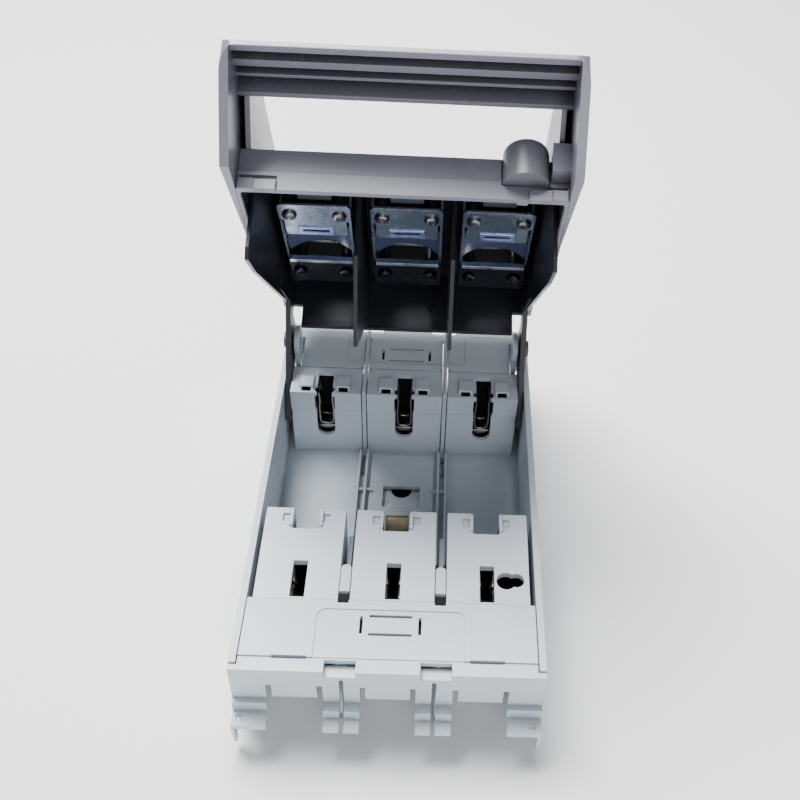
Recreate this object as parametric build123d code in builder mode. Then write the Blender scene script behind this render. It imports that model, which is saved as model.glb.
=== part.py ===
from build123d import *
import os
from math import cos, radians, sin

# Three-pole fused disconnect switch: a grey base with contact shrouds and two
# terminal covers, and a dark hinged lid with a bail handle and steel carriers.
# Millimetres, +Z out of the mounting surface, +Y towards the hinge end.
# The origin is the middle of the back face that lies on the mounting panel.
# The lid is drawn in the same axes in its closed place, on a plane that is
# turned open about the hinge, so the exported rest position is wide open.

os.makedirs("parts", exist_ok=True)

# ---- driving dimensions ----
WIDTH = 106.0              # outside of the base side walls
LENGTH = 176.0             # over the two terminal cover skirts
WALL_TOP = 40.0            # top of the base side walls
WALL = 2.4                 # base side wall thickness
FLOOR = 4.0                # base floor thickness
PITCH = 33.5               # distance between poles
LID_TOP = 84.0             # outside of the closed lid
LID_SKIN = 2.4             # lid cover wall thickness
HANDLE_WIDTH = 110.0       # over the handle sides
HINGE_Y, HINGE_Z = 66.5, 48.4
OPENING = radians(65.5)    # lid angle in the exported rest position

HALF = WIDTH / 2
END = LENGTH / 2
ROOM_END = END - 2.6       # housing stops behind the cover skirts
WALL_INNER = HALF - WALL
COVER_LENGTH = 28.4        # terminal cover, from the skirt to its inner edge
COVER_EDGE = END - COVER_LENGTH
COVER_SKIN = 2.6
SHROUD_SKIN = 1.8
NEAR_SHROUD_Y = (-58.8, -19.0)
FAR_SHROUD_Y = (43.4, 59.0)
SLOT_HALF = 2.6            # half width of a blade slot
BAR_Z = (14.0, 17.0)       # terminal bar
JAW_TOP = 36.0
JAW_INNER, JAW_OUTER = 2.5, 3.6
SCREW_Y = 70.0             # terminal screws, both ends
SCREW_FOOT = 11.5
CARRIER_Z = 62.0           # lower face of the steel carriers, lid closed
FRAME_PLATE_Z = (77.6, 79.4)
POLES = (-PITCH, 0.0, PITCH)
SIDES = (-1, 1)

# ---- frames ----
BASE = Plane.XY
LID_Y = Vector(0, cos(OPENING), -sin(OPENING))
LID_Z = Vector(0, sin(OPENING), cos(OPENING))
LID = Plane(
    origin=Vector(0, HINGE_Y, HINGE_Z) - LID_Y * HINGE_Y - LID_Z * HINGE_Z,
    x_dir=(1, 0, 0),
    z_dir=LID_Z,
)


# ---- shape helpers; every range is (one end, other end) in any order ----
def block(x, y, z, mode=Mode.ADD):
    """A box over the given ranges, in the current part's frame."""
    middle = [(pair[0] + pair[1]) / 2 for pair in (x, y, z)]
    size = [abs(pair[1] - pair[0]) for pair in (x, y, z)]
    with Locations(tuple(middle)):
        Box(*size, mode=mode)


def slab(frame, x, outline, mode=Mode.ADD):
    """A side-view outline of (y, z) points, extruded over the x range."""
    low, high = sorted(x)
    start = Plane(
        origin=frame.from_local_coords(Vector(low, 0, 0)),
        x_dir=frame.y_dir,
        z_dir=frame.x_dir,
    )
    with BuildSketch(start) as profile:
        with BuildLine():
            Polyline(outline, close=True)
        make_face()
    extrude(profile.sketch, amount=high - low, mode=mode)


def prism(frame, z, outline, mode=Mode.ADD):
    """A plan-view outline of (x, y) points, extruded over the z range."""
    low, high = sorted(z)
    start = Plane(
        origin=frame.from_local_coords(Vector(0, 0, low)),
        x_dir=frame.x_dir,
        z_dir=frame.z_dir,
    )
    with BuildSketch(start) as profile:
        with BuildLine():
            Polyline(outline, close=True)
        make_face()
    extrude(profile.sketch, amount=high - low, mode=mode)


def rod(axis, centre, radius, ends, mode=Mode.ADD):
    """A cylinder along x, y or z; centre holds the other two coordinates."""
    middle = (ends[0] + ends[1]) / 2
    if axis == "x":
        place = Location((middle, centre[0], centre[1]), (0, 90, 0))
    elif axis == "y":
        place = Location((centre[0], middle, centre[1]), (90, 0, 0))
    else:
        place = Location((centre[0], centre[1], middle))
    with Locations(place):
        Cylinder(radius, abs(ends[1] - ends[0]), mode=mode)


def save(piece, name):
    """Label the finished piece and write its file."""
    piece.part.label = name
    export_step(piece.part, f"parts/{name}.step")


# =====================================================================
# Base
# =====================================================================
EAR_X = (45.4, 47.4)       # hinge ear, each side
EAR_Y = (61.6, 71.4)
EAR_RADIUS = 6.5
PIN_RADIUS = 2.5
PHASE_X = (16.2, 17.8)     # partition between poles
RIB_HEIGHT = 3.0
LATCH_HALF = 8.6           # rail latch plate
LATCH_TRAVEL = 5.0
PHASE_END = 83.0           # partitions stop short of the cover skirt
CABLE_INNER = 65.4         # floor is open beyond this for the cables
MOUNT_X, MOUNT_Y, MOUNT_RADIUS = 12.5, 62.0, 2.8


def terminal_room(end):
    """Pedestals, partitions and screw sockets under one terminal cover."""
    for x in ((-16.2, 16.2), (17.8, 49.4), (-49.4, -17.8)):
        block(x, (end * CABLE_INNER, end * END), (-1, FLOOR + 1), Mode.SUBTRACT)
    for pole in POLES:
        slab(BASE, (pole - 9, pole + 9), [
            (end * 61, 0.8), (end * CABLE_INNER, 0.8), (end * 78.4, BAR_Z[0]), (end * 61, BAR_Z[0]),
        ])
        rod("z", (pole, end * SCREW_Y), 4.3, (SCREW_FOOT - 0.5, BAR_Z[0] + 1), Mode.SUBTRACT)
    top = WALL_TOP - COVER_SKIN - 0.4 if end < 0 else WALL_TOP + 1
    for side in SIDES:
        block((side * PHASE_X[0], side * PHASE_X[1]), (end * COVER_EDGE, end * PHASE_END), (0, top))
    for side in SIDES:
        rod("z", (side * MOUNT_X, end * MOUNT_Y), MOUNT_RADIUS, (-1, BAR_Z[1]), Mode.SUBTRACT)


def bay_ribs(side):
    """Low double ribs and the slot between them that guide a lid partition."""
    for x in ((15.0, 16.0), (18.2, 19.2)):
        block((side * x[0], side * x[1]), (-19, 43), (FLOOR, FLOOR + RIB_HEIGHT))
    block((side * 12.6, side * 19.2), (20, 21.2), (FLOOR, FLOOR + RIB_HEIGHT - 0.8))
    block((side * 16.3, side * 17.9), (30, 42), (-1, FLOOR + 1), Mode.SUBTRACT)


def bay_post(side):
    """Rounded post and tall blade between two near shrouds."""
    block((side * 15.15, side * 18.75), (-55.6, -45.8), (FLOOR, WALL_TOP - 0.4))
    rod("z", (side * 16.95, -45.8), 1.8, (FLOOR, WALL_TOP - 0.4))
    block((side * 16.2, side * 17.8), (-44.5, -24.5), (FLOOR, 31))


with BuildPart() as base_housing:
    block((-HALF, HALF), (-ROOM_END, ROOM_END), (0, FLOOR))
    for side in SIDES:
        block((side * WALL_INNER, side * HALF), (-ROOM_END, ROOM_END), (0, WALL_TOP))
        bay_post(side)
        block((side * PHASE_X[0], side * PHASE_X[1]), (43.8, COVER_EDGE), (FLOOR, WALL_TOP + 1))
        block((side * 15.2, side * 18.7), (-59.3, -55.9), (-1, FLOOR + 1), Mode.SUBTRACT)
        block((side * EAR_X[0], side * EAR_X[1]), EAR_Y, (FLOOR, HINGE_Z))
        rod("x", (HINGE_Y, HINGE_Z), EAR_RADIUS, (side * EAR_X[0], side * EAR_X[1]))
        rod("x", (HINGE_Y, HINGE_Z), PIN_RADIUS, (side * (EAR_X[0] - 1), side * (EAR_X[1] + 1)), Mode.SUBTRACT)
        # small rectangular drain slot in the floor beside each wall
        block((side * 44.5, side * 49.5), (-17.4, -15.0), (-1, FLOOR + 1), Mode.SUBTRACT)
    for end in SIDES:
        terminal_room(end)
    for side in SIDES:
        bay_ribs(side)
        # ventilation slots low in the side walls of the fuse bay
        for row in range(4):
            z = 12.0 + 5.0 * row
            block((side * (WALL_INNER - 1), side * (HALF + 1)), (14, 42), (z, z + 2.2), Mode.SUBTRACT)
    # raised frame round the latch window, then the window and latch channel
    block((-13.6, 13.6), (-17, 42), (FLOOR, FLOOR + 0.8))
    block((-7.8, 7.8), (12.2, 23.7), (-1, FLOOR + 2), Mode.SUBTRACT)
    block((-LATCH_HALF - 0.4, LATCH_HALF + 0.4), (-36, 46), (-1, 2.8), Mode.SUBTRACT)
    block((-5.2, 5.2), (-21.6, -13.2), (-1, FLOOR + 2), Mode.SUBTRACT)
save(base_housing, "base_housing")


def near_shroud(x, pole, keyhole):
    """Hollow cap over a near contact with its blade slot and lifting notch."""
    low, high = x
    block(x, NEAR_SHROUD_Y, (FLOOR, WALL_TOP))
    block(
        (low + SHROUD_SKIN, high - SHROUD_SKIN),
        (NEAR_SHROUD_Y[0] + SHROUD_SKIN, NEAR_SHROUD_Y[1] - SHROUD_SKIN),
        (FLOOR - 1, WALL_TOP - SHROUD_SKIN - 1.2),
        Mode.SUBTRACT,
    )
    # the top falls gently towards the terminal cover
    slab(BASE, (low - 1, high + 1), [
        (-36, WALL_TOP), (NEAR_SHROUD_Y[0] - 1, WALL_TOP - 1.2), (NEAR_SHROUD_Y[0] - 1, WALL_TOP + 1), (-36, WALL_TOP + 1),
    ], Mode.SUBTRACT)
    block((pole - SLOT_HALF, pole + SLOT_HALF), (-58.0, -43.0), (30, WALL_TOP + 1), Mode.SUBTRACT)
    # lips beside the notch, then the notch through the top and the far wall
    for side in SIDES:
        block((pole + side * 4.9, pole + side * 6.1), (-27.6, -20.0), (WALL_TOP - 1, WALL_TOP + 0.9))
        block((pole + side * 6.1, pole + side * 8.8), (-25.4, -21.6), (WALL_TOP - 0.9, WALL_TOP + 1), Mode.SUBTRACT)
    block((pole - 4.9, pole + 4.9), (-28.6, NEAR_SHROUD_Y[1] + 1), (FLOOR - 1, WALL_TOP + 2), Mode.SUBTRACT)
    # opening for the terminal bar in the near wall
    block((pole - 10, pole + 10), (NEAR_SHROUD_Y[0] - 1, -56), (FLOOR - 1, 24), Mode.SUBTRACT)
    if keyhole:
        rod("z", (pole + 6.9, -49.0), 3.5, (30, WALL_TOP + 1), Mode.SUBTRACT)
        rod("z", (pole + 10.6, -48.6), 2.8, (30, WALL_TOP + 1), Mode.SUBTRACT)


NEAR_SHROUD_X = ((-48.7, -19.05), (-14.85, 14.85), (19.05, 48.7))
for number, (x_range, pole) in enumerate(zip(NEAR_SHROUD_X, POLES), start=1):
    with BuildPart() as shroud:
        near_shroud(x_range, pole, keyhole=number == 3)
    save(shroud, f"near_shroud_{number}")


def far_shroud(x, pole):
    """Hollow cap over a far contact; its slot runs down the front face."""
    low, high = x
    front, rear = FAR_SHROUD_Y
    block(x, (front, rear), (FLOOR, WALL_TOP))
    block(x, (front - 1, front + 1), (FLOOR - 1, 30), Mode.SUBTRACT)
    block(
        (low + SHROUD_SKIN, high - SHROUD_SKIN),
        (front + 1 + SHROUD_SKIN, rear + 1),
        (FLOOR - 1, WALL_TOP - SHROUD_SKIN),
        Mode.SUBTRACT,
    )
    # guide pockets each side of the slot
    for side in SIDES:
        slab(BASE, (pole + side * 4.9, pole + side * 10.6), [
            (front + 1.8, WALL_TOP - 0.5), (front + 2.6, WALL_TOP + 1.7),
            (front + 8.6, WALL_TOP + 1.7), (front + 10.6, WALL_TOP - 0.5),
        ])
        block((pole + side * 5.8, pole + side * 9.7), (front + 1, front + 6), (WALL_TOP - 2, WALL_TOP + 1), Mode.SUBTRACT)
    # slot: rectangular on top, rounded lead-in lobes, a round foot in the front
    block((pole - 3.2, pole + 3.2), (front - 1, front + 12.4), (WALL_TOP - 3, WALL_TOP + 3), Mode.SUBTRACT)
    for side in SIDES:
        rod("z", (pole + side * 1.5, front + 2.8), 2.9, (WALL_TOP - 3, WALL_TOP + 3), Mode.SUBTRACT)
    block((pole - 4.2, pole + 4.2), (front - 1, front + 3.2), (29, WALL_TOP - 2), Mode.SUBTRACT)
    block((pole - 3.8, pole + 3.8), (front - 1, front + 3.2), (17.4, 30), Mode.SUBTRACT)
    rod("y", (pole, 17.4), 3.8, (front - 1, front + 3.2), Mode.SUBTRACT)


FAR_SHROUD_X = ((-47.8, -18.2), (-15.8, 15.8), (18.2, 47.8))
for number, (x_range, pole) in enumerate(zip(FAR_SHROUD_X, POLES), start=1):
    with BuildPart() as shroud:
        far_shroud(x_range, pole)
    save(shroud, f"far_shroud_{number}")


def contact(pole, end, jaw_y, bar_y):
    """Terminal bar with the two upright blades of its jaw."""
    block((pole - 8, pole + 8), bar_y, BAR_Z)
    for side in SIDES:
        block((pole + side * JAW_INNER, pole + side * JAW_OUTER), jaw_y, (BAR_Z[0] + 1, JAW_TOP))
    rod("z", (pole, end * SCREW_Y), 4.3, (BAR_Z[0] - 1, BAR_Z[1] + 1), Mode.SUBTRACT)


def jaw_clip(pole, y):
    """Spring clip round both blades of a jaw."""
    for side in SIDES:
        block((pole + side * JAW_OUTER, pole + side * (JAW_OUTER + 0.9)), y, (21, 28))
        block((pole + side * JAW_OUTER, pole + side * (JAW_OUTER + 2.2)), y, (23.4, 25.6))


def terminal_screw(pole, y):
    """Hexagon terminal screw with a crossed slot."""
    rod("z", (pole, y), 4.0, (SCREW_FOOT, 20))
    with BuildSketch(Plane.XY.offset(19.6)) as head:
        with Locations((pole, y)):
            RegularPolygon(6.8, 6)
    extrude(head.sketch, amount=5)
    block((pole - 4.6, pole + 4.6), (y - 0.8, y + 0.8), (23, 25), Mode.SUBTRACT)
    block((pole - 0.8, pole + 0.8), (y - 4.6, y + 4.6), (23, 25), Mode.SUBTRACT)


NEAR_END, FAR_END = SIDES
CONTACTS = (("near", NEAR_END, (-56.6, -43.4), (-80, -43.4)), ("far", FAR_END, (47.4, 58.6), (47.4, 80)))
for room, end, jaw_y, bar_y in CONTACTS:
    for number, pole in enumerate(POLES, start=1):
        with BuildPart() as contact_piece:
            contact(pole, end, jaw_y, bar_y)
        save(contact_piece, f"{room}_contact_{number}")
    clip_y = (sum(jaw_y) / 2 - 2.5, sum(jaw_y) / 2 + 2.5)
    with BuildPart() as jaw_clips:
        for pole in POLES:
            jaw_clip(pole, clip_y)
    save(jaw_clips, f"{room}_jaw_clips")
    with BuildPart() as clamps:
        for pole in POLES:
            block((pole - 8, pole + 8), (end * SCREW_Y - 6.5, end * SCREW_Y + 6.5), (17.0, 19.5))
            rod("z", (pole, end * SCREW_Y), 4.3, (16, 20), Mode.SUBTRACT)
    save(clamps, f"{room}_clamp_plates")
    with BuildPart() as screws:
        for pole in POLES:
            terminal_screw(pole, end * SCREW_Y)
    save(screws, f"{room}_terminal_screws")

for side, name in ((-1, "pivot_pin_left"), (1, "pivot_pin_right")):
    with BuildPart() as pivot_pin:
        rod("x", (HINGE_Y, HINGE_Z), PIN_RADIUS, (side * EAR_X[0], side * 50.6))
        rod("x", (HINGE_Y, HINGE_Z), 3.4, (side * 50.55, side * 52.2))
    save(pivot_pin, name)

# ---- rail latch: plate in the floor channel, bronze tab, return spring ----
with BuildPart() as rail_latch:
    block((-LATCH_HALF, LATCH_HALF), (-34, 34), (0.8, 2.3))
    rod("z", (0, 23.9), 4.4, (0, 3), Mode.SUBTRACT)
save(rail_latch, "rail_latch")

with BuildPart() as latch_tab:
    slab(BASE, (-4.4, 4.4), [
        (-27.0, 37.4), (-20.6, 29.2), (-20.6, 2.3), (-19.4, 2.3), (-19.4, 29.6), (-26.1, 38.3),
    ])
save(latch_tab, "latch_tab")

with BuildPart() as latch_spring:
    with BuildLine() as coil:
        Helix(pitch=1.5, height=8.0, radius=0.8, center=(0, 34.6, 1.55), direction=(0, 1, 0))
    with BuildSketch(Plane(origin=coil.line @ 0, z_dir=coil.line % 0)):
        Circle(0.22)
    sweep(is_frenet=True)
save(latch_spring, "latch_spring")


# =====================================================================
# Terminal covers
# =====================================================================
def stair(end, points):
    """Side-view points, mirrored to the far end when end is +1."""
    return [(-end * y, z) for y, z in points]


TONGUE = [
    (-88, 26), (-88, 20.4), (-91.5, 20.4), (-91.5, 15.8), (-96, 15.8),
    (-96, 14.0), (-89.6, 14.0), (-89.6, 18.4), (-85.8, 18.4), (-85.8, 26),
]
FOOT = [
    (-88, 26), (-88, 22), (-90, 22), (-90, 16.8), (-96, 16.8),
    (-96, 14.8), (-88.2, 14.8), (-88.2, 20), (-85.8, 20), (-85.8, 26),
]
SPIKE = [(-96, 16.0), (-94.9, 4.0), (-92.9, 4.0), (-90.2, 16.0)]


def terminal_cover(end):
    """Top plate, front skirt with cable openings, stepped tongues and feet."""
    outer, inner = end * END, end * COVER_EDGE
    plate_half = WALL_INNER - 0.4
    block((-plate_half, plate_half), (outer, inner), (WALL_TOP - COVER_SKIN, WALL_TOP))
    block((-HALF, HALF), (outer, end * (END - 2.2)), (23.2, WALL_TOP))
    # front strip a step lower than the label field
    block((-HALF - 1, HALF + 1), (outer + end, end * 82.6), (WALL_TOP - 0.6, WALL_TOP + 1), Mode.SUBTRACT)
    for side in SIDES:
        for x in ((9.5, 14.8), (16.4, 21.9)):
            slab(BASE, (side * x[0], side * x[1]), stair(end, TONGUE) if end > 0 else TONGUE)
        slab(BASE, (side * 41.1, side * HALF), stair(end, FOOT) if end > 0 else FOOT)
        slab(BASE, (side * 51.9, side * HALF), stair(end, SPIKE) if end > 0 else SPIKE)
        block((side * 49.0, side * 51.3), (end * 91.6, end * 94.0), (13, 18), Mode.SUBTRACT)
        # slots that free the tongues from the skirt
        for x in ((39.2, 41.1), (22.0, 23.9), (7.6, 9.4)):
            block((side * x[0], side * x[1]), (outer + end, end * 85), (12, 30.4), Mode.SUBTRACT)
        block((side * 14.85, side * 16.35), (outer + end, end * 85), (12, 35.6), Mode.SUBTRACT)
        # clip notch with its floor in the front edge, and a thin slot on the strip
        block((side * 10.2, side * 22.0), (outer, end * 83.4), (34.6, 38))
        block((side * 10.8, side * 21.4), (outer + end, end * 83.4), (36.2, WALL_TOP + 1), Mode.SUBTRACT)
        block((side * 27.4, side * 39.0), (end * 82.2, end * 83.1), (WALL_TOP - 4, WALL_TOP + 1), Mode.SUBTRACT)
        # side slots of the label holder
        block((side * 9.6, side * 10.6), (end * 65.9, end * 72.7), (WALL_TOP - 4, WALL_TOP + 1), Mode.SUBTRACT)
        block((side * 15.0, side * 18.9), (end * 58, end * 60.8), (WALL_TOP - 4, WALL_TOP + 1), Mode.SUBTRACT)
    for y in (65.2, 72.5):
        block((-7.4, 7.4), (end * y, end * (y + 1.0)), (WALL_TOP - 4, WALL_TOP + 1), Mode.SUBTRACT)
    # shallow label field with rounded inner corners
    with BuildSketch(Plane.XY.offset(WALL_TOP - 0.35)) as field:
        with Locations((0, end * 74.5)):
            RectangleRounded(51, 22.4, 3)
    extrude(field.sketch, amount=1, mode=Mode.SUBTRACT)
    if end == FAR_END:
        # clear the partitions, the hinge ears and the lid arms
        for side in SIDES:
            block((side * 15.8, side * 18.2), (COVER_EDGE - 1, PHASE_END + 0.4), (33, WALL_TOP + 1), Mode.SUBTRACT)
            block((side * 44.8, side * 51), (COVER_EDGE - 1, 78.6), (30, WALL_TOP + 1), Mode.SUBTRACT)


for end, name in ((NEAR_END, "near_terminal_cover"), (FAR_END, "far_terminal_cover")):
    with BuildPart() as cover:
        terminal_cover(end)
    save(cover, name)


# =====================================================================
# Lid, drawn closed on the tilted lid plane
# =====================================================================
RIM_Y, RIM_Z = -63.0, 41.0         # lower front edge of the end wall
SLOPE_FOOT_Z = 56.1                # where the end wall turns into the slope
SLOPE_TOP_Y = -18.0                # where the slope meets the front plate
LID_REAR = 62.0
LID_REAR_FOOT = 62.0               # lower rear corner of the lid sides
SIDE_INNER = WALL_INNER            # inner face of the lid side walls
NARROW_HALF = 52.0                 # lid half width between the handle sides
CHEEK_X = (48.9, 50.2)
ARM_X = (48.2, 50.2)
LOCK_X, LOCK_Y = 38.4, -63.4       # axis of the lock knob, square to the lid
LOCK_RADIUS = 7.4
LOCK_FIT = 0.3                     # gap round the knob
LOCK_Z = (46.4, 60.6)
CAM_Z = (47.2, 49.2)
WINDOW_Y = (5.0, 35.0)
SLIDE_TRAVEL = 4.0

with BuildPart(LID) as lid_cover:
    slope = (LID_TOP - SLOPE_FOOT_Z) / (SLOPE_TOP_Y - RIM_Y)
    drop = LID_SKIN * (1 + slope**2) ** 0.5
    side_foot = [(46, LID_REAR_FOOT), (0, 45.5), (-12, RIM_Z + 0.2)]
    slab(LID, (-NARROW_HALF, NARROW_HALF), [
        (RIM_Y, RIM_Z), (RIM_Y, SLOPE_FOOT_Z), (SLOPE_TOP_Y, LID_TOP), (LID_REAR, LID_TOP), (LID_REAR, LID_REAR_FOOT),
    ] + side_foot)
    for side in SIDES:
        slab(LID, (side * (NARROW_HALF - 0.5), side * HALF), [
            (SLOPE_TOP_Y, RIM_Z + 0.2), (SLOPE_TOP_Y, LID_TOP), (LID_REAR, LID_TOP), (LID_REAR, LID_REAR_FOOT),
        ] + side_foot)
    inner_y = RIM_Y + LID_SKIN
    inner_top = LID_TOP - LID_SKIN
    slab(LID, (-SIDE_INNER, SIDE_INNER), [
        (inner_y, RIM_Z - 5),
        (inner_y, SLOPE_FOOT_Z + slope * LID_SKIN - drop),
        (RIM_Y + (inner_top - SLOPE_FOOT_Z + drop) / slope, inner_top),
        (LID_REAR - LID_SKIN, inner_top),
        (LID_REAR - LID_SKIN, RIM_Z - 5),
    ], Mode.SUBTRACT)
    # rear wall reaches lower between the hinge ears
    block((-44.8, 44.8), (LID_REAR - LID_SKIN, LID_REAR), (52.2, LID_REAR_FOOT + 1))
    # rebate along the rim, which laps over the shroud tops
    block((-SIDE_INNER, SIDE_INNER), (RIM_Y + 1.2, inner_y + 1), (RIM_Z - 1, RIM_Z + 2.4), Mode.SUBTRACT)
    # raised rim strip with a stepped tab and a slot at each corner
    block((-NARROW_HALF, NARROW_HALF), (RIM_Y - 0.6, RIM_Y + 0.5), (RIM_Z, 47.8))
    for side in SIDES:
        block((side * 39.6, side * 51.6), (RIM_Y - 1, inner_y + 1), (44.9, 46.2), Mode.SUBTRACT)
        block((side * 39.6, side * 46.6), (RIM_Y - 1.6, RIM_Y), (RIM_Z - 0.4, 44.4))
        block((side * 46.6, side * 51.6), (RIM_Y - 1.1, RIM_Y), (RIM_Z, 44.9))
    rod("z", (LOCK_X, LOCK_Y), LOCK_RADIUS + LOCK_FIT, (LOCK_Z[0] - LOCK_FIT, LID_TOP - 14), Mode.SUBTRACT)
    for pole in POLES:
        block((pole - 8, pole + 8), WINDOW_Y, (LID_TOP - 1.7, LID_TOP + 1), Mode.SUBTRACT)
        block((pole - 6.5, pole + 6.5), (WINDOW_Y[0] + 2, WINDOW_Y[1] - 2), (70, LID_TOP), Mode.SUBTRACT)
        block((pole - 2.3, pole + 2.3 + SLIDE_TRAVEL), (-14, -10), (70, LID_TOP + 1), Mode.SUBTRACT)
save(lid_cover, "lid_cover")

HANDLE_HALF = HANDLE_WIDTH / 2
HANDLE_FRONT = -95.2               # front of the grip bar
GRIP_BACK = -74.0                  # grip bar's face on the finger side
BAIL_Z = 69.9                      # lower edge of the grip bar
BAIL_TOP = LID_TOP - LID_SKIN
FRAME_INNER = 48.6                 # half width of the finger opening
BAIL_SLOPE = [(HANDLE_FRONT, 71.6), (-80.5, 83.0), (-78.0, LID_TOP)]
SIDE_PROFILE = [(-75.5, RIM_Z), (HANDLE_FRONT, BAIL_Z)] + BAIL_SLOPE + [
    (SLOPE_TOP_Y, LID_TOP), (SLOPE_TOP_Y, RIM_Z + 0.2),
]


def handle_side(side):
    """One flared side of the handle with its inner stiffening wall."""
    slab(LID, (side * (NARROW_HALF + 0.1), side * HANDLE_HALF), SIDE_PROFILE)
    # the outer face tapers from the handle's width to the lid's width
    prism(LID, (RIM_Z - 5, LID_TOP + 5), [
        (side * HANDLE_HALF, -75.5), (side * HALF, -36), (side * HALF, 0),
        (side * (HANDLE_HALF + 5), 0), (side * (HANDLE_HALF + 5), -75.5),
    ], Mode.SUBTRACT)
    slab(LID, (side * FRAME_INNER, side * (FRAME_INNER + 1.7)), [
        (GRIP_BACK - 1, BAIL_Z - 2), (GRIP_BACK, BAIL_Z - 2), (RIM_Y - 0.1, SLOPE_FOOT_Z),
        (SLOPE_TOP_Y - 1.2, LID_TOP - 0.2), (GRIP_BACK - 1, LID_TOP - 0.2),
    ])
    block(
        (side * FRAME_INNER, side * (NARROW_HALF + 0.3)),
        (GRIP_BACK - 1, SLOPE_TOP_Y - 4.2),
        (BAIL_TOP, LID_TOP),
    )


def round_front_corner(side, radius):
    """Round the upright corner where a handle side meets the grip bar."""
    start = Plane(
        origin=LID.from_local_coords(Vector(0, 0, RIM_Z)),
        x_dir=LID.x_dir,
        z_dir=LID.z_dir,
    )
    centre = (side * (HANDLE_HALF - radius), HANDLE_FRONT + radius)
    with BuildSketch(start) as corner:
        with Locations((centre[0] + side * radius, centre[1] - radius)):
            Rectangle(2 * radius, 2 * radius)
        with Locations(centre):
            Circle(radius, mode=Mode.SUBTRACT)
    extrude(corner.sketch, amount=LID_TOP - RIM_Z + 1, mode=Mode.SUBTRACT)


def grip_bar():
    """Channel-shaped grip with two lengthwise ribs."""
    half = HANDLE_HALF - 0.5
    slab(LID, (-half, half), [(HANDLE_FRONT, BAIL_Z)] + BAIL_SLOPE + [
        (GRIP_BACK, LID_TOP), (GRIP_BACK, BAIL_TOP), (-79.4, 81.2),
        (HANDLE_FRONT + 2.6, 71.2), (HANDLE_FRONT + 2.6, BAIL_Z),
    ])
    block((-half, half), (GRIP_BACK - 2, GRIP_BACK), (BAIL_Z - 2, BAIL_TOP + 1))
    block((-half, half), (-87.4, -84.4), (BAIL_Z + 1.1, 77.4))
    block((-half, half), (-80.8, -79.4), (BAIL_Z + 1.3, 81.0))


with BuildPart(LID) as handle:
    grip_bar()
    for side in SIDES:
        handle_side(side)
    # web beside the lock knob
    slab(LID, (46.2, 52.3), [
        (RIM_Y - 0.7, 47.9), (-69.0, 49), (-70.5, 58), (RIM_Y - 0.1, 61), (RIM_Y - 0.1, 47.9),
    ])
    for side in SIDES:
        round_front_corner(side, 4.5)
save(handle, "handle")


def frame_panel(side, x, outline):
    """An upright panel of the inner frame."""
    slab(LID, (side * x[0], side * x[1]), outline)


CHEEK = [
    (-48.5, 61.5), (-48.5, 29), (-47, 25.2), (-31.4, 29), (46, 56.3), (76.5, 15.5),
    (83, 20.5), (73.6, 46), (72.6, 52), (67, 56.3), (57.5, 56.3), (57.5, 79.4), (-20, 79.4),
]
PARTITION = [
    (-21.5, 78), (-20.3, 42.7), (3.5, 18.5), (42, 44.5), (57, 57), (57.5, 78),
]
ARM = [
    (20, 49), (46, 56.3), (76.5, 15.5), (83, 20.5), (73.6, 46),
    (72.6, 52), (67, 56.3), (57.5, 56.3), (57.5, 70), (20, 70),
]
SCREW_SPOTS = ((-9.0, -14.3), (9.0, -14.3), (-9.0, 28.0), (9.0, 28.0))

with BuildPart(LID) as lid_frame:
    block((-CHEEK_X[1], CHEEK_X[1]), (-20, 57.5), FRAME_PLATE_Z)
    for side in SIDES:
        frame_panel(side, CHEEK_X, CHEEK)
        frame_panel(side, ARM_X, ARM)
        frame_panel(side, (16.4, 17.8), PARTITION)
        rod("x", (HINGE_Y, HINGE_Z), 6.4, (side * ARM_X[0], side * ARM_X[1]))
        rod("x", (HINGE_Y, HINGE_Z), PIN_RADIUS + 0.06, (side * 47, side * 51), Mode.SUBTRACT)
    for pole in POLES:
        for dx, y in SCREW_SPOTS:
            rod("z", (pole + dx, y), 2.2, (CARRIER_Z + 1, FRAME_PLATE_Z[0] + 0.5))
            rod("z", (pole + dx, y), 1.4, (CARRIER_Z, CARRIER_Z + 10), Mode.SUBTRACT)
        block((pole - 6.5, pole + 6.5), (WINDOW_Y[0] + 2, WINDOW_Y[1] - 2), (77, 80), Mode.SUBTRACT)
        block((pole - 6.4, pole + 6.4 + SLIDE_TRAVEL), (-19.8, -16.4), (77, 80), Mode.SUBTRACT)
save(lid_frame, "lid_frame")


def carrier(pole):
    """Bent steel carrier: upper plate, lower plate and two long flanges."""
    top, low = CARRIER_Z + 1, CARRIER_Z
    with BuildSketch(Plane(origin=LID.from_local_coords(Vector(0, 0, low)), x_dir=LID.x_dir, z_dir=LID.z_dir)) as plan:
        with Locations((pole, -15.3)):
            RectangleRounded(26.4, 10.6, 1.8)
        with Locations((pole, -7.2)):
            RectangleRounded(22.8, 14.2, 1.2)
        with Locations((pole, 28.4)):
            RectangleRounded(26.4, 17.0, 1.8)
    extrude(plan.sketch, amount=top - low)
    for side in SIDES:
        block((pole + side * 12.2, pole + side * 13.2), (-14, 37), (low + 0.4, FRAME_PLATE_Z[0] - 0.1))
    block((pole - 4.8, pole + 4.8), (-4.6, -2.6), (low - 1, top + 1), Mode.SUBTRACT)
    for dx, y in SCREW_SPOTS:
        rod("z", (pole + dx, y), 1.5, (low - 1, top + 1), Mode.SUBTRACT)


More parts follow.
